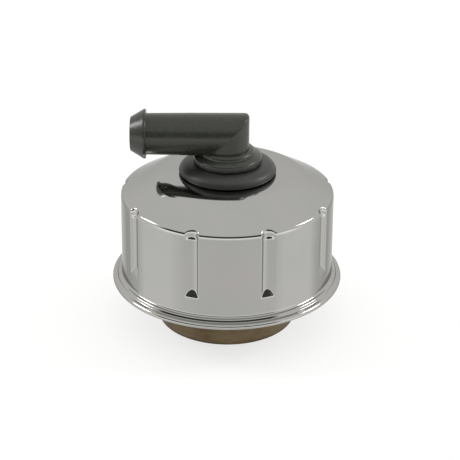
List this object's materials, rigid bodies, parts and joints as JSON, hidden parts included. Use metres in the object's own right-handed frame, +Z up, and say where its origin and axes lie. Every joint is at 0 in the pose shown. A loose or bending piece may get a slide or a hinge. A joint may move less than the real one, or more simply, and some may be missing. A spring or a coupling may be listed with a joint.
{
  "type": "crankcase breather cap",
  "caption": "Round chromed crankcase breather cap with a fluted wall, a plated neck with locking ears, and a barbed plastic hose elbow that turns in a rubber grommet.",
  "frame": {"origin": "centre of the neck's lower edge, on the cap's axis", "axes": "+Z up along the cap's axis, -X along the hose tube at rest, -Z out of the neck towards the filler pipe"},
  "size_m": [0.0834, 0.0836, 0.0797],
  "materials": {
    "chrome": "bright chrome plate on drawn steel",
    "zinc_steel": "clear zinc plate, dull",
    "yellow_zinc": "yellow zinc plate, satin, brown-gold",
    "rubber": "moulded black rubber, satin",
    "nylon": "glass-filled nylon, satin dark grey",
    "wire_knit": "knitted steel wire"
  },
  "bodies": {
    "cap": {"outer_shell": "chrome", "base_pan": "zinc_steel", "neck_skirt": "yellow_zinc", "neck_gasket": "rubber", "splash_baffle": "zinc_steel", "baffle_rivet_1": "zinc_steel", "baffle_rivet_2": "zinc_steel", "baffle_rivet_3": "zinc_steel", "skirt_rivet_1": "zinc_steel", "skirt_rivet_2": "zinc_steel", "skirt_rivet_3": "zinc_steel", "retainer_ring": "zinc_steel", "lower_screen": "zinc_steel", "filter_pad": "wire_knit", "upper_screen": "zinc_steel", "grommet": "rubber"},
    "elbow": {"elbow": "nylon"}
  },
  "joints": [
    {"name": "elbow_swivel", "type": "hinge", "parent": "cap", "child": "elbow", "pos_m": [0, 0, 0.0611], "axis": [0, 0, 1], "continuous": true}
  ]
}
